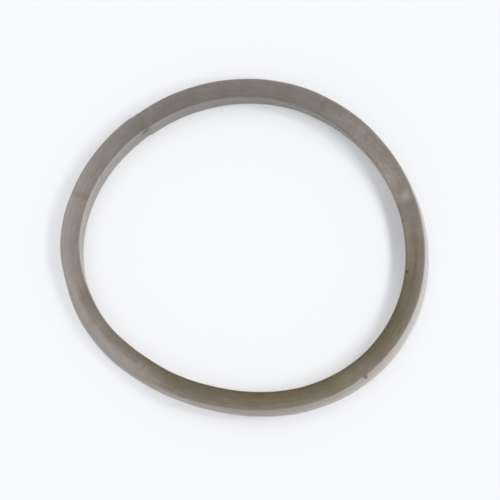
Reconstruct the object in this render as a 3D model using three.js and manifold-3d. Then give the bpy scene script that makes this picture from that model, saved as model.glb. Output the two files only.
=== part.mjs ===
// A sealing ring for a round glass: one length of square elastomer strip, bent round until its two
// cut ends meet, and bonded there. It lies free and unclamped, so it is a little oval.
// Millimetres, +Z up. The lower sealing face is on z = 0 and the ring's box is centred on the Z axis.
import * as THREE from "three";
import { mergeVertices } from "three/addons/utils/BufferGeometryUtils.js";
import Module from "manifold-3d";

// The strip's section: a square with its four edges slightly round.
const SECTION = 4;
const EDGE_RADIUS = 0.3;
const EDGE_SEGMENTS = 1;

// The centreline that the free ring settles into, by angle from the long axis, +X.
const MEAN_RADIUS = 33;
const OVAL = 1.8;
const LOBE = 0.6;
const LOBE_ANGLE = THREE.MathUtils.degToRad(98);

// The butt splice: where it is, how thick the bond is, and the gap that each end keeps to it.
const SPLICE_ANGLE = THREE.MathUtils.degToRad(153);
const BOND_THICKNESS = 0.3;
const BOND_GAP = 0.05;

// The two ends meet slightly out of line: one is pulled in towards the bore, the other stands out.
const END_IN = { offset: -0.17, reach: 3.2 };
const END_OUT = { offset: 0.12, reach: 14 };

// Adhesive squeezed out on the bore side is left as a low smear over the splice.
const SMEAR_LENGTH = 2;
const SMEAR_HEIGHT = 3;
const SMEAR_THICKNESS = 0.15;

// Over one stretch the soft strip slumps: its top leans in towards the bore.
const LEAN = 0.6;
const LEAN_ANGLE = THREE.MathUtils.degToRad(236);
const LEAN_SPREAD = THREE.MathUtils.degToRad(27);

const STRIP_STEPS = 180;

const wasm = await Module();
wasm.setup();

// Angle from one direction to another, between -PI and PI.
function turnBetween(from, to) {
  const turn = THREE.MathUtils.euclideanModulo(to - from + Math.PI, 2 * Math.PI);
  return turn - Math.PI;
}

// Centreline radius of the free ring, before the splice is taken into account.
function freeRadius(angle) {
  const oval = OVAL * Math.cos(2 * angle);
  const lobe = LOBE * Math.cos(3 * (angle - LOBE_ANGLE));
  return MEAN_RADIUS + oval + lobe;
}

// Sideways offset of the strip at a distance from one of its cut ends.
function endOffset(end, distance) {
  return end.offset * Math.exp(-((distance / end.reach) ** 2));
}

// The strip's centreline, from one cut end round to the other. The end that is pulled in is the last.
class StripLine extends THREE.Curve {
  constructor() {
    super();
    this.arcLengthDivisions = 4 * STRIP_STEPS;
    const halfSlot = BOND_THICKNESS / 2 + BOND_GAP;
    this.margin = halfSlot / freeRadius(SPLICE_ANGLE);
  }

  getPoint(t, target = new THREE.Vector3()) {
    const turn = this.margin + t * 2 * (Math.PI - this.margin);
    const angle = SPLICE_ANGLE + turn;
    const free = freeRadius(angle);
    const fromStart = free * (turn - this.margin);
    const fromEnd = free * (2 * Math.PI - this.margin - turn);
    const radius = free + endOffset(END_OUT, fromStart) + endOffset(END_IN, fromEnd);
    return target.set(radius * Math.cos(angle), radius * Math.sin(angle), 0);
  }
}

// A rectangle with round corners, standing on z = 0. Extruded along the ring, the shape's x runs
// down the section, and its y runs in towards the bore.
function sectionShape(height, width, lift) {
  const r = EDGE_RADIUS;
  const low = -lift;
  const high = -lift - height;
  const side = width / 2;
  const shape = new THREE.Shape();
  shape.moveTo(high + r, -side);
  shape.lineTo(low - r, -side);
  shape.absarc(low - r, -side + r, r, -Math.PI / 2, 0, false);
  shape.lineTo(low, side - r);
  shape.absarc(low - r, side - r, r, 0, Math.PI / 2, false);
  shape.lineTo(high + r, side);
  shape.absarc(high + r, side - r, r, Math.PI / 2, Math.PI, false);
  shape.lineTo(high, -side + r);
  shape.absarc(high + r, -side + r, r, Math.PI, 1.5 * Math.PI, false);
  return shape;
}

// Leans the section in towards the bore, in proportion to height, over the slumped stretch.
function slump(geometry) {
  const position = geometry.getAttribute("position");
  const point = new THREE.Vector3();
  for (let i = 0; i < position.count; i++) {
    point.fromBufferAttribute(position, i);
    const turn = turnBetween(LEAN_ANGLE, Math.atan2(point.y, point.x));
    const share = Math.exp(-((turn / LEAN_SPREAD) ** 4)) * (point.z / SECTION);
    const radius = Math.hypot(point.x, point.y);
    const scale = 1 - (LEAN * share) / radius;
    position.setXYZ(i, point.x * scale, point.y * scale, point.z);
  }
  geometry.computeVertexNormals();
  return geometry;
}

function stripGeometry(line) {
  const shape = sectionShape(SECTION, SECTION, 0);
  const options = { steps: STRIP_STEPS, extrudePath: line, curveSegments: EDGE_SEGMENTS };
  return slump(new THREE.ExtrudeGeometry(shape, options));
}

// A closed mesh as a solid that can be joined to another.
function solidOf(geometry) {
  const bare = geometry.clone();
  bare.deleteAttribute("normal");
  bare.deleteAttribute("uv");
  const merged = mergeVertices(bare, 1e-4);
  const vertProperties = merged.attributes.position.array;
  const triVerts = new Uint32Array(merged.index.array);
  return new wasm.Manifold(new wasm.Mesh({ numProp: 3, vertProperties, triVerts }));
}

function geometryOf(solid) {
  const mesh = solid.getMesh();
  const geometry = new THREE.BufferGeometry();
  geometry.setAttribute("position", new THREE.BufferAttribute(mesh.vertProperties, 3));
  geometry.setIndex(new THREE.BufferAttribute(mesh.triVerts, 1));
  geometry.computeVertexNormals();
  return geometry;
}

// The film between the two cut ends: the strip's own section, a third of a millimetre thick.
function bondFilm(middle, tangent) {
  const half = tangent.clone().multiplyScalar(BOND_THICKNESS / 2);
  const path = new THREE.LineCurve3(middle.clone().sub(half), middle.clone().add(half));
  const trim = BOND_GAP;
  const shape = sectionShape(SECTION - 2 * trim, SECTION - 2 * trim, trim);
  const options = { steps: 1, extrudePath: path, curveSegments: EDGE_SEGMENTS };
  return new THREE.ExtrudeGeometry(shape, options);
}

// The smear on the bore wall: a low cushion, curved in plan, that grows out of the film's edge.
function boreSmear(middle, tangent) {
  const wall = SECTION / 2 + BOND_GAP - END_IN.offset;
  const rise = SMEAR_THICKNESS;
  const plan = new THREE.Shape();
  plan.moveTo(-SMEAR_LENGTH / 2, wall);
  plan.lineTo(SMEAR_LENGTH / 2, wall);
  plan.quadraticCurveTo(0, wall + 2 * rise, -SMEAR_LENGTH / 2, wall);
  const options = { depth: SMEAR_HEIGHT, bevelEnabled: false, curveSegments: 12 };
  const smear = new THREE.ExtrudeGeometry(plan, options);
  const neck = new THREE.BoxGeometry(BOND_THICKNESS, 1, SMEAR_HEIGHT);
  neck.translate(0, wall - 0.5 + rise / 2, SMEAR_HEIGHT / 2);
  const turn = new THREE.Matrix4();
  const inward = new THREE.Vector3(0, 0, 1).cross(tangent);
  turn.makeBasis(tangent, inward, new THREE.Vector3(0, 0, 1));
  turn.setPosition(middle.x, middle.y, (SECTION - SMEAR_HEIGHT) / 2);
  const solid = solidOf(smear.applyMatrix4(turn));
  return solid.add(solidOf(neck.applyMatrix4(turn)));
}

function bondGeometry(line) {
  const first = line.getPoint(0);
  const last = line.getPoint(1);
  const middle = first.clone().add(last).multiplyScalar(0.5);
  const tangent = line.getTangent(0).add(line.getTangent(1)).normalize();
  return geometryOf(solidOf(bondFilm(middle, tangent)).add(boreSmear(middle, tangent)));
}

const elastomer = new THREE.MeshStandardMaterial({ color: 0x7d736b, roughness: 0.62, metalness: 0 });
const adhesive = new THREE.MeshStandardMaterial({ color: 0x655b53, roughness: 0.4, metalness: 0 });

const stripLine = new StripLine();

const ringStrip = new THREE.Mesh(stripGeometry(stripLine), elastomer);
ringStrip.name = "ring_strip";

const spliceBond = new THREE.Mesh(bondGeometry(stripLine), adhesive);
spliceBond.name = "splice_bond";

// The outline isn't the same on both sides of its polar centre, so the ring is moved until the
// middle of its box is on the Z axis.
const sealingRing = new THREE.Group();
sealingRing.add(ringStrip, spliceBond);
const middle = new THREE.Box3().setFromObject(sealingRing).getCenter(new THREE.Vector3());
sealingRing.position.set(-middle.x, -middle.y, 0);

export default sealingRing;
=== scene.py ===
from math import atan2, cos, exp, hypot, pi, radians, sin

import bmesh
import bpy
from mathutils import Matrix, Vector, noise


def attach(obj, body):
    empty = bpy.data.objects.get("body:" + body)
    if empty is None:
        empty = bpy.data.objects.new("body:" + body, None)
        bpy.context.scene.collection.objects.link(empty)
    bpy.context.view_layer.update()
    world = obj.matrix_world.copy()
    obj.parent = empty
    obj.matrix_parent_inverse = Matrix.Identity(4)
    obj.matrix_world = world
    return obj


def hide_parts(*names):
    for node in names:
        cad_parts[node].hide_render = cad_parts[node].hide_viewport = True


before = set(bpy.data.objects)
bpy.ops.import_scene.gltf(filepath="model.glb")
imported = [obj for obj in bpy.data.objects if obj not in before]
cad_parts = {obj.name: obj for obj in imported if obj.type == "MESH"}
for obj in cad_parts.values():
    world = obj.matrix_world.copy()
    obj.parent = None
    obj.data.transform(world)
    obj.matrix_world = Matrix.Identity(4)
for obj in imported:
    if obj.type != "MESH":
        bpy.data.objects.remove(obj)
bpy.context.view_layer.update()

scene = bpy.context.scene


# The bench: a sheet of pale paper on a table top, lit from the right by three soft window panes and
# a weaker one beside them, a little from overhead, and from all round by a bright room. The camera
# stands well back and looks down at the ring.
PAPER_COLOUR = (0.825, 0.837, 0.868, 1)
PAPER_SIZE = 3.0
PAPER_ROUGHNESS, PAPER_SPECULAR = 0.9, 0.2
# Each pane's bearing, height above the bench, spread (degrees) and strength.
WINDOW_PANES = [
    (-4, 41.5, 7, 0.48),
    (7, 46, 14, 0.50),
    (30, 46, 13, 0.96),
    (66, 50, 26, 0.2),
    (150, 76, 45, 0.27),
]
WINDOW_COLOUR = (1.0, 0.99, 0.97)
ROOM_COLOUR = (0.985, 0.99, 1.0, 1)
ROOM_STRENGTH = 0.59
CAMERA_BEARING, CAMERA_HEIGHT, CAMERA_ROLL = -33.65, 69.7, 32.2
CAMERA_DISTANCE = 1.5
VIEW_WIDTH = 0.0975
AIM = (0.00012, -0.00015, 0)


def direction(bearing, height):
    """The way to something at this compass bearing from +X and this height above the bench."""
    flat = cos(radians(height))
    return Vector((cos(radians(bearing)) * flat, sin(radians(bearing)) * flat, sin(radians(height))))


bpy.ops.object.select_all(action="DESELECT")
bpy.ops.mesh.primitive_plane_add(size=PAPER_SIZE, location=(0, 0, 0))
paper = bpy.context.object
paper.name = "paper_sheet"
paper_finish = bpy.data.materials.new("pale_paper")
paper_finish.use_nodes = True
paper_shader = paper_finish.node_tree.nodes["Principled BSDF"]
paper_shader.inputs["Base Color"].default_value = PAPER_COLOUR
paper_shader.inputs["Roughness"].default_value = PAPER_ROUGHNESS
paper_shader.inputs["Specular IOR Level"].default_value = PAPER_SPECULAR
paper.data.materials.append(paper_finish)

for bearing, height, spread, strength in WINDOW_PANES:
    bpy.ops.object.light_add(type="SUN")
    pane = bpy.context.object
    pane.name = "window_pane"
    pane.data.energy = strength
    pane.data.angle = radians(spread)
    pane.data.color = WINDOW_COLOUR
    pane.rotation_mode = "QUATERNION"
    pane.rotation_quaternion = direction(bearing, height).to_track_quat("Z", "Y")

room = bpy.data.worlds.new("bright_room")
room.use_nodes = True
room.node_tree.nodes["Background"].inputs["Color"].default_value = ROOM_COLOUR
room.node_tree.nodes["Background"].inputs["Strength"].default_value = ROOM_STRENGTH
scene.world = room
scene.view_settings.view_transform = "Standard"

bpy.ops.object.camera_add()
camera = bpy.context.object
camera.name = "camera"
away = direction(CAMERA_BEARING, CAMERA_HEIGHT)
camera.location = Vector(AIM) + away * CAMERA_DISTANCE
camera.rotation_mode = "QUATERNION"
upright = away.to_track_quat("Z", "Y")
camera.rotation_quaternion = upright @ Matrix.Rotation(-radians(CAMERA_ROLL), 3, "Z").to_quaternion()
camera.data.lens = camera.data.sensor_width * CAMERA_DISTANCE / VIEW_WIDTH
scene.camera = camera


# The ring strip: square silicone strip, extruded, cut to length and bent round until its ends meet.
# It lies free, so it is a little oval and lobed, and its soft section slumps over one stretch.
# Handling has left it with a nicked bore edge, a small nub and a faint unevenness all round.
SECTION = 0.004
EDGE_RADIUS = 0.0003
EDGE_SEGMENTS = 4
SIDE_CUTS = 9
MEAN_RADIUS = 0.033
OVAL = 0.0018
LOBE, LOBE_BEARING = 0.0006, radians(98)
SPLICE_BEARING = radians(153)
BOND_THICKNESS = 0.0003
END_IN, END_IN_REACH = -0.00008, 0.0048
END_OUT, END_OUT_REACH = 0.00012, 0.014
LEAN, LEAN_BEARING, LEAN_SPREAD = 0.00042, radians(236), radians(27)
SOFT_DROP, SOFT_PULL = 0.00075, 0.00045
UNEVEN, UNEVEN_LENGTH = 0.00006, 0.006
FINE_SHARE, FINE_TIMES = 0.5, 2.3
TOP_SHARE, TOP_TIMES = 0.5, 0.8
SPIN_STEPS = 180
STEP_CUTS = 5
SMOOTH_ANGLE = radians(40)
SMALL_TURN = 1e-4


def free_radius(bearing):
    """The radius that the strip's centreline settles to when nothing holds the ring."""
    oval = OVAL * cos(2 * bearing)
    lobe = LOBE * cos(3 * (bearing - LOBE_BEARING))
    return MEAN_RADIUS + oval + lobe


slot_turn = BOND_THICKNESS / 2 / free_radius(SPLICE_BEARING)


def centreline(turn):
    """A point on the strip's centreline, at this turn past the splice."""
    bearing = SPLICE_BEARING + turn
    free = free_radius(bearing)
    from_start = free * (turn - slot_turn)
    from_end = free * (2 * pi - slot_turn - turn)
    radius = free + END_OUT * exp(-((from_start / END_OUT_REACH) ** 2))
    radius += END_IN * exp(-((from_end / END_IN_REACH) ** 2))
    return Vector((radius * cos(bearing), radius * sin(bearing), 0))


def outward(turn):
    """The way out of the ring, square to the strip, at this turn past the splice."""
    along = (centreline(turn + SMALL_TURN) - centreline(turn - SMALL_TURN)).normalized()
    return Vector((along.y, -along.x, 0))


def swing(bearing, other):
    """The angle between two bearings, at most half a turn."""
    return abs((bearing - other + pi) % (2 * pi) - pi)


# Small marks on the strip's edges: where (degrees), which side (-1 bore, 1 outside), height on the
# section, reach along the strip, reach around the section, and how far the surface stands out.
MARKS = [
    (177.0, -1, 1.0, 0.0004, 0.0006, -0.0002),
    (176.2, -1, 1.0, 0.0003, 0.0005, 0.00008),
    (336.5, 1, 0.93, 0.00035, 0.0007, 0.0004),
    (335.2, 1, 1.0, 0.0008, 0.0008, -0.00016),
    (154.3, 1, 0.7, 0.0008, 0.003, -0.00019),
    (40.0, 1, 1.0, 0.0007, 0.0008, -0.00008),
    (95.0, -1, 1.0, 0.0005, 0.0006, -0.00006),
]


def mark_height(bearing, side, height):
    """How far the marks lift or sink the strip's side at this point on it."""
    total = 0
    for degrees, mark_side, mark_at, length, width, rise in MARKS:
        if side * mark_side > 0:
            along = swing(bearing, radians(degrees)) * MEAN_RADIUS / length
            around = (height - mark_at * SECTION) / width
            total += rise * exp(-along * along - around * around)
    return total


def slump_share(bearing):
    """How much the strip slumps here, from 0 to 1."""
    return exp(-((swing(bearing, LEAN_BEARING) / LEAN_SPREAD) ** 4))


def settle(point):
    """Moves a point of the round, even strip to where it is on the free ring."""
    bearing = atan2(point.y, point.x)
    turn = (bearing - SPLICE_BEARING) % (2 * pi)
    out = hypot(point.x, point.y) - MEAN_RADIUS
    height = point.z
    share = slump_share(bearing)
    aside, high = max(out / SECTION * 2, 0), height / SECTION
    height -= SOFT_DROP * share * aside ** 3 * high ** 2
    out -= share * (LEAN * high + SOFT_PULL * aside * high ** 3)
    side = out / SECTION * 2
    ripple = noise.noise(point / UNEVEN_LENGTH)
    ripple += FINE_SHARE * noise.noise(point / UNEVEN_LENGTH * FINE_TIMES)
    out += (UNEVEN * ripple + mark_height(bearing, side, height)) * side
    top_ripple = TOP_SHARE * noise.noise(point / UNEVEN_LENGTH * TOP_TIMES)
    height += UNEVEN * top_ripple * (height / SECTION)
    return centreline(turn) + outward(turn) * out + Vector((0, 0, height))


bpy.ops.object.select_all(action="DESELECT")
start = SPLICE_BEARING - slot_turn
bpy.ops.mesh.primitive_plane_add(
    size=SECTION,
    location=(MEAN_RADIUS * cos(start), MEAN_RADIUS * sin(start), SECTION / 2),
    rotation=(pi / 2, 0, start),
)
strip = bpy.context.object
strip.name = "silicone_strip"
bpy.ops.object.transform_apply(location=True, rotation=True, scale=True)
bpy.ops.object.mode_set(mode="EDIT")
bpy.ops.mesh.select_mode(type="EDGE")


def select_longer(mesh, length):
    """Selects the edges longer than this, and nothing else."""
    bpy.ops.mesh.select_all(action="DESELECT")
    editable = bmesh.from_edit_mesh(mesh)
    for edge in editable.edges:
        edge.select = edge.calc_length() > length
    bmesh.update_edit_mesh(mesh)


bpy.ops.mesh.select_all(action="SELECT")
bpy.ops.mesh.bevel(offset=EDGE_RADIUS, segments=EDGE_SEGMENTS, affect="VERTICES")
select_longer(strip.data, SECTION / 2)
bpy.ops.mesh.subdivide(number_cuts=SIDE_CUTS)
bpy.ops.mesh.select_all(action="SELECT")
bpy.ops.mesh.spin(
    steps=SPIN_STEPS, angle=2 * (pi - slot_turn), center=(0, 0, 0), axis=(0, 0, 1)
)
select_longer(strip.data, SECTION / 5)
bpy.ops.mesh.subdivide(number_cuts=STEP_CUTS)
bpy.ops.mesh.select_all(action="SELECT")
bpy.ops.mesh.normals_make_consistent(inside=False)
bpy.ops.object.mode_set(mode="OBJECT")

# The place along and across the strip is kept as a UV map before it takes its free shape.
across_map = strip.data.uv_layers.new(name="along_and_across")
for loop in strip.data.loops:
    place = strip.data.vertices[loop.vertex_index].co
    turn = (atan2(place.y, place.x) - SPLICE_BEARING) % (2 * pi)
    across = (hypot(place.x, place.y) - MEAN_RADIUS) / SECTION + 0.5
    across_map.data[loop.index].uv = (turn / (2 * pi), across)

# Pale dust, from 0 for none to 1 for thick. This much lies all round at the bore edge and at the
# outer edge, and more lies in broad drifts: bearing and spread (degrees), and how much more at each
# edge. Where the strip slumps its outer side caught more. One patch by the bore stops in a clear
# edge, where something lay against the strip.
DUST_ALL_ROUND = (0.04, 0.32)
DUST_DRIFTS = [
    (26, 15, 0.24, 0.0),
    (62, 26, 0.29, 0.0),
    (110, 50, 0.17, 0.0),
    (138, 12, 0.0, -0.04),
    (192, 26, 0.0, 0.33),
    (194, 42, 0.32, 0.0),
    (310, 20, 0.0, 0.03),
]
SLUMP_DUST = 0.60
EDGED_PATCH, EDGED_PATCH_BEARING, EDGED_PATCH_SPREAD = 0.16, 48, 16
PATCH_EDGE_FROM, PATCH_EDGE_TO = 37, 39.5
BORE_BAND, BORE_BAND_WIDTH = 0.08, 0.10
MIDDLE_DIP = 0.045
# Patches of their own: bearing, place across (0 bore, 1 outside), half length and half width in
# metres, and how much more or less dust.
DUST_PATCHES = [
    (236, 0.48, 0.0120, 0.0009, -0.16),
    # The next patch is painted shade: a thin dark line along the bore edge, where the wall's foot
    # lies in shadow.
    (74, 0.07, 0.0090, 0.0003, -0.05),
    (40, 0.55, 0.0010, 0.0010, 0.30),
    (48, 0.30, 0.0022, 0.0014, 0.10),
    (24, 0.50, 0.0070, 0.0005, -0.10),
    (10, 0.50, 0.0040, 0.0004, -0.06),
    (155, 0.15, 0.0014, 0.0018, -0.04),
    (153, 0.50, 0.0004, 0.0040, -0.05),
    (86, 0.50, 0.0007, 0.0040, -0.07),
    (69, 0.60, 0.0012, 0.0010, 0.10),
    (75, 0.55, 0.0014, 0.0012, 0.08),
    (185.5, 0.5, 0.0006, 0.0050, -0.12),
    (221.5, 0.42, 0.0018, 0.0018, -0.14),
    (233, 0.55, 0.0006, 0.0010, 0.14),
    (254, 0.50, 0.0005, 0.0006, 0.16),
    (257, 0.55, 0.0005, 0.0008, 0.12),
    (334, 0.45, 0.0035, 0.0016, 0.10),
    (13.3, 0.12, 0.00025, 0.00025, -0.30),
]


def dust_at(bearing, across):
    """The share of pale dust at this place on the strip, from 0 to 1."""
    degrees = bearing * 180 / pi % 360
    inner, outer = DUST_ALL_ROUND
    for drift, spread, more_inner, more_outer in DUST_DRIFTS:
        there = exp(-((swing(bearing, radians(drift)) / radians(spread)) ** 2))
        inner += more_inner * there
        outer += more_outer * there
    outer += SLUMP_DUST * slump_share(bearing)
    past = min(max((degrees - PATCH_EDGE_FROM) / (PATCH_EDGE_TO - PATCH_EDGE_FROM), 0), 1)
    patch_there = exp(-(((degrees - EDGED_PATCH_BEARING) / EDGED_PATCH_SPREAD) ** 2))
    inner += EDGED_PATCH * patch_there * past * past * (3 - 2 * past)
    share = inner + (outer - inner) * across - BORE_BAND * exp(-((across / BORE_BAND_WIDTH) ** 2))
    share -= MIDDLE_DIP * sin(pi * min(max(across, 0), 1))
    for patch, place, length, width, more in DUST_PATCHES:
        along = swing(bearing, radians(patch)) * MEAN_RADIUS / length
        aside = (across - place) * SECTION / width
        share += more * exp(-along * along - aside * aside)
    return share


# How much light gets through the strip, from 0 to 1, at the foot and the rim of each wall. Outside,
# most comes through on the left, across the ring from the windows. The bore wall is cloudy all round,
# and quite dense over one stretch.
OPPOSITE_WINDOWS_BEARING = radians(215)
CLEAR_TOP = 0.85
CLEAR_OUTSIDE = (0.92, 0.74)
CLEAR_BORE, DENSE_BORE = (0.45, 0.5), (0.4, 0.0)
DENSE_BEARING, DENSE_SPREAD = radians(31), radians(25)
CLEAR_RISE = 0.6


def opposite_windows(bearing):
    """How near this stretch is to the side across from the windows, from 0 to 1; walls here get more
    painted light.
    """
    return 0.5 + 0.5 * cos(bearing - OPPOSITE_WINDOWS_BEARING)


def clearness(bearing, across, height, up):
    """The share of light that this place on the strip lets through."""
    if across < 0.5:
        dense = exp(-((swing(bearing, DENSE_BEARING) / DENSE_SPREAD) ** 2))
        foot, rim = (a * (1 - dense) + b * dense for a, b in zip(CLEAR_BORE, DENSE_BORE))
    else:
        foot, rim = (share * opposite_windows(bearing) for share in CLEAR_OUTSIDE)
    wall = foot + (rim - foot) * (height / SECTION) ** CLEAR_RISE
    return wall + (CLEAR_TOP - wall) * up


# Painted light on the walls: a paler colour where a wall faces the window and towards its foot.
PAINTED_LIGHT_BEARING = radians(10)
LIT_SHARE, FOOT_SHARE, BORE_FOOT_SHARE = 0.50, 0.66, 0.36
LIT_FALL, FOOT_FALL = 3, 2


def painted_wall_light(bearing, across, height, up):
    """The share of painted light in a wall's colour: at its foot, and where it faces the window."""
    low = (1 - height / SECTION) ** FOOT_FALL
    if across < 0.5:
        return BORE_FOOT_SHARE * opposite_windows(bearing) * low * (1 - up)
    facing = LIT_SHARE * max(cos(bearing - PAINTED_LIGHT_BEARING), 0) ** LIT_FALL
    return (facing + (1 - facing) * FOOT_SHARE * low) * (1 - up)


LEAST_TONE, ADDED_TONE, TONE_FALL, TONE_RISE = 0.14, 0.82, 1.8, 1.2


def painted_wall_shading(bearing, height):
    """How pale the walls are painted, from 0 at a foot in painted shade to 1 under the edge of a
    stretch in painted light.
    """
    full = LEAST_TONE + ADDED_TONE * opposite_windows(bearing) ** TONE_FALL
    return full * (height / SECTION) ** TONE_RISE


# Stains and specks of dark dirt: bearing, height on the section, place across it and reach.
STAINS = [
    (336.6, 0.94, 1.0, 0.00034),
    (13.1, 1.0, 0.14, 0.0002),
    (31.8, 1.0, 0.08, 0.00016),
]


def stain_at(bearing, height, across):
    """The share of dark dirt at this place on the strip, from 0 to 1."""
    total = 0
    for degrees, stain_height, stain_across, reach in STAINS:
        along = swing(bearing, radians(degrees)) * MEAN_RADIUS
        distance = hypot(along, height - stain_height * SECTION, (across - stain_across) * SECTION)
        total += exp(-((distance / reach) ** 2))
    return min(total, 1)


GREY_BEARING = radians(138)


def greyness(bearing):
    """How grey the clean silicone is here, from 0 for brown to 1 for grey."""
    return 0.5 + 0.5 * cos(bearing - GREY_BEARING)


def facing_up(across, height):
    """How far the strip's surface faces up here, from 0 on a wall to 1 on the top."""
    aside = max(abs(across - 0.5) * SECTION - (SECTION / 2 - EDGE_RADIUS), 0)
    above = max(height - (SECTION - EDGE_RADIUS), 0)
    return above / hypot(aside, above) if above > 0 else 0


CRUMB_BEARING, CRUMB_SPREAD = radians(60), radians(26)
LEAST_CRUMBS = 0.15


def crumbs_at(bearing):
    """How many pale crumbs of dust lie here, from 0 to 1."""
    there = exp(-((swing(bearing, CRUMB_BEARING) / CRUMB_SPREAD) ** 2))
    return LEAST_CRUMBS + (1 - LEAST_CRUMBS) * there


DULL_REACH = 0.0012


def dulled_at(bearing):
    """How much the adhesive smeared on the bore wall dulls it here, from 0 to 1."""
    from_smear = swing(bearing, SPLICE_BEARING + DULL_REACH / MEAN_RADIUS / 2) * MEAN_RADIUS
    return exp(-((from_smear / DULL_REACH) ** 2))


# What the material reads from the mesh: its dust, how far it faces up, the painted highlight on its
# rounded edges, the painted light and shade on its walls, and so on. All are taken while the strip is
# still round and even.
SURFACE_VALUES = [
    "dust",
    "faces_up",
    "painted_edge_highlight",
    "painted_wall_shading",
    "clearness",
    "painted_wall_light",
    "stain",
    "greyness",
    "crumbs",
]
BORE_EDGE_LEAST = 0.5
ROLLED_UP, ROLLED_EDGE = 0.9, 0.7
DULL_EDGE, DULL_WALL = 0.5, 0.45


def take_surface(kept, bearing, across, height):
    """Adds to the kept lists what the material reads at this place on the strip."""
    up = facing_up(across, height)
    rolled = slump_share(bearing) * (height / SECTION if across > 0.5 else 0)
    dulled = dulled_at(bearing) if across < 0.5 else 0
    lit_edge = BORE_EDGE_LEAST + (1 - BORE_EDGE_LEAST) * opposite_windows(bearing) if across < 0.5 else 1
    # Painted highlight on rounded edges, weaker where the bore edge turns from the windows, where the
    # strip slumps and by the smear.
    edge = 4 * up ** 2 * (1 - up ** 2) * (1 - ROLLED_EDGE * rolled) * (1 - DULL_EDGE * dulled)
    kept["dust"].append(dust_at(bearing, across))
    kept["faces_up"].append(max(up ** 2, ROLLED_UP * rolled))
    kept["painted_edge_highlight"].append(edge * lit_edge)
    kept["clearness"].append(clearness(bearing, across, height, up ** 2))
    kept["painted_wall_shading"].append(painted_wall_shading(bearing, height) * (1 - DULL_WALL * dulled))
    kept["painted_wall_light"].append(painted_wall_light(bearing, across, height, up ** 2))
    kept["stain"].append(stain_at(bearing, height, across))
    kept["greyness"].append(greyness(bearing))
    kept["crumbs"].append(crumbs_at(bearing))


def store_surface(mesh, kept):
    """Keeps the values with the mesh, one for each vertex."""
    for name, values in kept.items():
        mesh.attributes.new(name, "FLOAT", "POINT").data.foreach_set("value", values)


strip_surface = {name: [] for name in SURFACE_VALUES}
for vertex in strip.data.vertices:
    across = (hypot(vertex.co.x, vertex.co.y) - MEAN_RADIUS) / SECTION + 0.5
    height = min(max(vertex.co.z, 0), SECTION)
    take_surface(strip_surface, atan2(vertex.co.y, vertex.co.x), across, height)
store_surface(strip.data, strip_surface)
for vertex in strip.data.vertices:
    vertex.co = settle(vertex.co)

# The middle of the free outline's box goes to the middle of the frame's.
outline = [[vertex.co[axis] for vertex in strip.data.vertices] for axis in (0, 1)]
middle = Vector([(min(side) + max(side)) / 2 for side in outline] + [0])
strip.data.transform(Matrix.Translation(-middle))
bpy.ops.object.shade_smooth_by_angle(angle=SMOOTH_ANGLE)


def add_node(tree, kind, **settings):
    """Adds a shader node; a setting is a property's name, or an input's name with spaces as _."""
    made = tree.nodes.new(kind)
    for name, value in settings.items():
        if hasattr(made, name):
            setattr(made, name, value)
        else:
            made.inputs[name.replace("_", " ")].default_value = value
    return made


def math_node(tree, operation, first, second):
    """A Math node on two values, each a socket or a plain number. It gives its result's socket."""
    made = add_node(tree, "ShaderNodeMath", operation=operation)
    for socket, value in zip(made.inputs, (first, second)):
        if isinstance(value, (int, float)):
            socket.default_value = value
        else:
            tree.links.new(value, socket)
    return made.outputs[0]


def colour_mix(tree, share, first, second):
    """A Mix node on two colours, each a socket or a plain colour. It gives its result's socket."""
    made = add_node(tree, "ShaderNodeMix", data_type="RGBA", clamp_factor=True)
    tree.links.new(share, made.inputs[0])
    for socket, value in zip((made.inputs[6], made.inputs[7]), (first, second)):
        if isinstance(value, tuple):
            socket.default_value = value
        else:
            tree.links.new(value, socket)
    return made.outputs[2]


# The strip and the bond both have a dusty, handled surface: pale dust over a clean brown-grey body,
# with faint blotches, fine grain, faint streaks along the strip and a few pale crumbs.
BLOTCH_SCALE, GRAIN_SCALE, CRUMB_SCALE = 420, 3600, 900
STREAKS_ALONG, STREAKS_ACROSS = 38, 9
CRUMB_SHARE = 0.16
LEAST_UNEVEN = 0.35
BLOTCH_WEIGHT, GRAIN_WEIGHT, STREAK_WEIGHT = 0.22, 0.26, 0.46
CRUMB_FROM, CRUMB_TO = 0.58, 0.76
GIVEN_TO_DUSTING = [
    ("Clean", "Color"),
    ("Dust", "Color"),
    ("Amount", "Float"),
    ("Crumbs", "Float"),
    ("Along", "Vector"),
]
dusting = bpy.data.node_groups.new("settled_dust", "ShaderNodeTree")
for name, kind in GIVEN_TO_DUSTING:
    dusting.interface.new_socket(name, in_out="INPUT", socket_type="NodeSocket" + kind)
for name, kind in (("Colour", "Color"), ("Share", "Float"), ("Height", "Float")):
    dusting.interface.new_socket(name, in_out="OUTPUT", socket_type="NodeSocket" + kind)
given = dusting.nodes.new("NodeGroupInput")
put_out = dusting.nodes.new("NodeGroupOutput")
place = add_node(dusting, "ShaderNodeTexCoord")
blotches = add_node(dusting, "ShaderNodeTexNoise", Scale=BLOTCH_SCALE, Detail=3, Roughness=0.5)
grain = add_node(dusting, "ShaderNodeTexNoise", Scale=GRAIN_SCALE, Detail=2, Roughness=0.6)
crumb_noise = add_node(dusting, "ShaderNodeTexNoise", Scale=CRUMB_SCALE, Detail=1, Roughness=0.5)
crumb_mask = add_node(dusting, "ShaderNodeMapRange", From_Min=CRUMB_FROM, From_Max=CRUMB_TO)
dusting.links.new(place.outputs["Object"], crumb_noise.inputs["Vector"])
dusting.links.new(crumb_noise.outputs["Fac"], crumb_mask.inputs["Value"])
stretch = add_node(dusting, "ShaderNodeMapping")
stretch.inputs["Scale"].default_value = (STREAKS_ALONG, STREAKS_ACROSS, 1)
streaks = add_node(dusting, "ShaderNodeTexNoise", Scale=1, Detail=3, Roughness=0.6)
dusting.links.new(place.outputs["Object"], blotches.inputs["Vector"])
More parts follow.
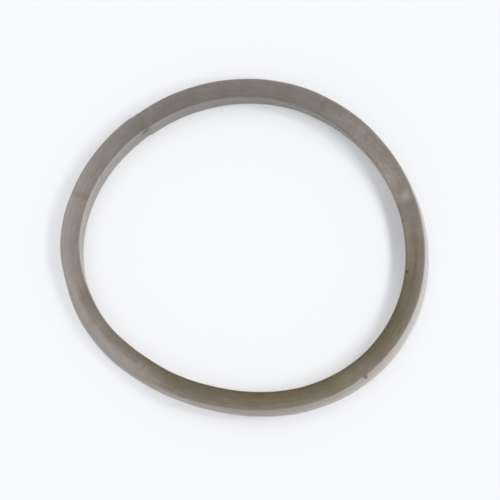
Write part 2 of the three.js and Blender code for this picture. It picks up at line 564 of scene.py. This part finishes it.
dusting.links.new(place.outputs["Object"], grain.inputs["Vector"])
dusting.links.new(given.outputs["Along"], stretch.inputs["Vector"])
dusting.links.new(stretch.outputs["Vector"], streaks.inputs["Vector"])
uneven = given.outputs["Amount"]
swing_size = math_node(dusting, "ADD", given.outputs["Amount"], LEAST_UNEVEN)
for pattern, weight in (
    (blotches, BLOTCH_WEIGHT),
    (grain, GRAIN_WEIGHT),
    (streaks, STREAK_WEIGHT),
):
    centred = math_node(dusting, "SUBTRACT", pattern.outputs["Fac"], 0.5)
    weighted = math_node(dusting, "MULTIPLY", centred, weight)
    uneven = math_node(dusting, "ADD", uneven, math_node(dusting, "MULTIPLY", weighted, swing_size))
crumbed = math_node(dusting, "MULTIPLY", crumb_mask.outputs["Result"], CRUMB_SHARE)
crumbed = math_node(dusting, "MULTIPLY", crumbed, given.outputs["Crumbs"])
uneven = math_node(dusting, "ADD", uneven, crumbed)
bumps = math_node(dusting, "ADD", grain.outputs["Fac"], streaks.outputs["Fac"])
dusted = colour_mix(dusting, uneven, given.outputs["Clean"], given.outputs["Dust"])
dusting.links.new(dusted, put_out.inputs["Colour"])
dusting.links.new(uneven, put_out.inputs["Share"])
dusting.links.new(bumps, put_out.inputs["Height"])

# Colours of the clean top, of dust, and of a wall's foot (painted shade) and rim (painted light), on
# a brown and on a grey stretch.
BROWN_SILICONE, GREY_SILICONE = (0.084, 0.060, 0.022, 1), (0.083, 0.071, 0.058, 1)
BROWN_DUST, GREY_DUST = (0.44, 0.392, 0.355, 1), (0.44, 0.402, 0.388, 1)
BROWN_FOOT, GREY_FOOT = (0.19, 0.155, 0.118, 1), (0.16, 0.147, 0.135, 1)
BROWN_RIM, GREY_RIM = (0.42, 0.37, 0.31, 1), (0.34, 0.325, 0.31, 1)
# The colour and share of the painted highlight on rounded edges, and how much noise clouds the walls.
EDGE_HIGHLIGHT_COLOUR = (0.44, 0.41, 0.37, 1)
EDGE_HIGHLIGHT_SHARE, WALL_CLOUDING = 0.36, 0.32
# The colour of the painted light on the walls.
PAINTED_LIGHT_COLOUR = (0.60, 0.59, 0.575, 1)
DARK_DIRT = (0.03, 0.02, 0.018, 1)
CLEAN_ROUGHNESS, DUSTY_ROUGHNESS, DULL_FROM_DUST = 0.25, 0.7, 0.6
RELIEF_STRENGTH, RELIEF_DEPTH = 0.5, 0.00002
SILICONE_IOR = 1.41
GLOW_WEIGHT, GLOW_DEPTH, GLOW_TINT = 0.3, 0.0006, (1.0, 0.85, 0.7)


def silicone_material(name):
    """Milky silicone with dust on its top, painted light and shade on walls and edges, and light that
    comes through.
    """
    made = bpy.data.materials.new(name)
    made.use_nodes = True
    tree = made.node_tree
    read = {
        key: add_node(tree, "ShaderNodeAttribute", attribute_name=key).outputs["Fac"]
        for key in SURFACE_VALUES
    }
    along = add_node(tree, "ShaderNodeUVMap", uv_map="along_and_across")
    dust = add_node(tree, "ShaderNodeGroup", node_tree=dusting)
    clean = colour_mix(tree, read["greyness"], BROWN_SILICONE, GREY_SILICONE)
    pale = colour_mix(tree, read["greyness"], BROWN_DUST, GREY_DUST)
    tree.links.new(clean, dust.inputs["Clean"])
    tree.links.new(pale, dust.inputs["Dust"])
    tree.links.new(read["dust"], dust.inputs["Amount"])
    tree.links.new(read["crumbs"], dust.inputs["Crumbs"])
    tree.links.new(along.outputs["UV"], dust.inputs["Along"])
    rim = colour_mix(tree, read["greyness"], BROWN_RIM, GREY_RIM)
    foot = colour_mix(tree, read["greyness"], BROWN_FOOT, GREY_FOOT)
    centred = math_node(tree, "SUBTRACT", dust.outputs["Height"], 1.0)
    clouding = math_node(tree, "MULTIPLY", centred, WALL_CLOUDING)
    # The walls: painted shade towards the foot and painted light under the edge; then a painted
    # highlight on rounded edges and painted light on the walls.
    walls = colour_mix(tree, math_node(tree, "ADD", read["painted_wall_shading"], clouding), foot, rim)
    body = colour_mix(tree, read["faces_up"], walls, dust.outputs["Colour"])
    edge = math_node(tree, "MULTIPLY", read["painted_edge_highlight"], EDGE_HIGHLIGHT_SHARE)
    edged = colour_mix(tree, edge, body, EDGE_HIGHLIGHT_COLOUR)
    lit = colour_mix(tree, read["painted_wall_light"], edged, PAINTED_LIGHT_COLOUR)
    stained = colour_mix(tree, read["stain"], lit, DARK_DIRT)
    skin = tree.nodes["Principled BSDF"]
    tree.links.new(stained, skin.inputs["Base Color"])
    shine = add_node(tree, "ShaderNodeMapRange", From_Max=DULL_FROM_DUST)
    shine.inputs["To Min"].default_value = CLEAN_ROUGHNESS
    shine.inputs["To Max"].default_value = DUSTY_ROUGHNESS
    lying = math_node(tree, "MULTIPLY", dust.outputs["Share"], read["faces_up"])
    tree.links.new(lying, shine.inputs["Value"])
    tree.links.new(shine.outputs["Result"], skin.inputs["Roughness"])
    relief = add_node(tree, "ShaderNodeBump", Strength=RELIEF_STRENGTH, Distance=RELIEF_DEPTH)
    tree.links.new(dust.outputs["Height"], relief.inputs["Height"])
    tree.links.new(relief.outputs["Normal"], skin.inputs["Normal"])
    skin.inputs["IOR"].default_value = SILICONE_IOR
    skin.inputs["Subsurface Weight"].default_value = GLOW_WEIGHT
    skin.inputs["Subsurface Radius"].default_value = GLOW_TINT
    skin.inputs["Subsurface Scale"].default_value = GLOW_DEPTH
    rays = add_node(tree, "ShaderNodeLightPath")
    through = add_node(tree, "ShaderNodeBsdfTransparent")
    tree.links.new(read["clearness"], through.inputs["Color"])
    both = add_node(tree, "ShaderNodeMixShader")
    tree.links.new(rays.outputs["Is Shadow Ray"], both.inputs[0])
    tree.links.new(skin.outputs["BSDF"], both.inputs[1])
    tree.links.new(through.outputs["BSDF"], both.inputs[2])
    tree.links.new(both.outputs["Shader"], tree.nodes["Material Output"].inputs["Surface"])
    return made


strip.data.materials.append(silicone_material("dusty_silicone"))
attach(strip, "root")
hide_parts("ring_strip")


# The bond: silicone adhesive cured between the cut ends. A thin film fills the joint, flush with the
# strip's faces, and what was squeezed out on the bore side is left as a low smear. Dust lies on it as
# on the strip.
SMEAR_LENGTH, SMEAR_HEIGHT, SMEAR_RISE = 0.0026, 0.0028, 0.0001
SMEAR_SHIFT, SMEAR_TILT, SMEAR_MIDDLE = 0.0004, radians(4), 0.49
SMEAR_SEGMENTS, SMEAR_RINGS = 48, 24
SMEAR_UNEVEN, SMEAR_UNEVEN_LENGTH = 0.00003, 0.0009
FILM_INSET, FILM_LAP = 0.00002, 0.00003
NEARLY_SQUARE = 0.1

bond_line = (centreline(slot_turn) + centreline(2 * pi - slot_turn)) / 2 - middle
bond_out = outward(0)
bond_turn = atan2(bond_out.y, bond_out.x)

bpy.ops.object.select_all(action="DESELECT")
bpy.ops.mesh.primitive_cube_add(
    size=1,
    location=bond_line + Vector((0, 0, SECTION / 2)),
    rotation=(0, 0, bond_turn),
    scale=(SECTION - 2 * FILM_INSET, BOND_THICKNESS + 2 * FILM_LAP, SECTION - 2 * FILM_INSET),
)
film = bpy.context.object
film.name = "splice_adhesive"
bpy.ops.object.transform_apply(location=True, rotation=True, scale=True)
bpy.ops.object.mode_set(mode="EDIT")
bpy.ops.mesh.select_mode(type="EDGE")
bpy.ops.mesh.select_all(action="DESELECT")
film_mesh = bmesh.from_edit_mesh(film.data)
for edge in film_mesh.edges:
    run = (edge.verts[0].co - edge.verts[1].co).normalized()
    edge.select = abs(run.z) < NEARLY_SQUARE and abs(run.dot(bond_out)) < NEARLY_SQUARE
bmesh.update_edit_mesh(film.data)
bpy.ops.mesh.bevel(offset=EDGE_RADIUS, segments=EDGE_SEGMENTS)
bpy.ops.object.mode_set(mode="OBJECT")

onward = Vector((-bond_out.y, bond_out.x, 0))
bore_step = (END_OUT + END_IN) / 2
smear_place = bond_line + onward * SMEAR_SHIFT + Vector((0, 0, SECTION * SMEAR_MIDDLE))
smear_place -= bond_out * (SECTION / 2 + bore_step)
bpy.ops.object.select_all(action="DESELECT")
bpy.ops.mesh.primitive_uv_sphere_add(
    segments=SMEAR_SEGMENTS,
    ring_count=SMEAR_RINGS,
    radius=0.5,
    location=smear_place,
    rotation=(0, 0, bond_turn - SMEAR_TILT),
    scale=(2 * SMEAR_RISE, SMEAR_LENGTH, SMEAR_HEIGHT),
)
smear = bpy.context.object
bpy.ops.object.transform_apply(location=True, rotation=True, scale=True)
rippled = [
    vertex.co + vertex.normal * SMEAR_UNEVEN * noise.noise(vertex.co / SMEAR_UNEVEN_LENGTH)
    for vertex in smear.data.vertices
]
for vertex, place in zip(smear.data.vertices, rippled):
    vertex.co = place

bpy.ops.object.select_all(action="DESELECT")
film.select_set(True)
bpy.context.view_layer.objects.active = film
weld = film.modifiers.new("join_smear", "BOOLEAN")
weld.operation = "UNION"
weld.object = smear
bpy.ops.object.modifier_apply(modifier=weld.name)
bpy.data.objects.remove(smear)
bpy.ops.object.shade_smooth_by_angle(angle=SMOOTH_ANGLE)

# The film gets the strip's map and values. The cube's own map goes first.
while film.data.uv_layers:
    film.data.uv_layers.remove(film.data.uv_layers[0])
film_map = film.data.uv_layers.new(name="along_and_across")
for loop in film.data.loops:
    place = film.data.vertices[loop.vertex_index].co - bond_line
    turn = place.dot(onward) / MEAN_RADIUS
    film_map.data[loop.index].uv = (turn / (2 * pi), place.dot(bond_out) / SECTION + 0.5)
film_surface = {name: [] for name in SURFACE_VALUES}
for vertex in film.data.vertices:
    bearing = atan2(vertex.co.y, vertex.co.x)
    across = max((vertex.co - bond_line).dot(bond_out) / SECTION + 0.5, 0)
    take_surface(film_surface, bearing, across, min(max(vertex.co.z, 0), SECTION))
store_surface(film.data, film_surface)
film.data.materials.append(silicone_material("cured_adhesive"))
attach(film, "root")
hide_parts("splice_bond")
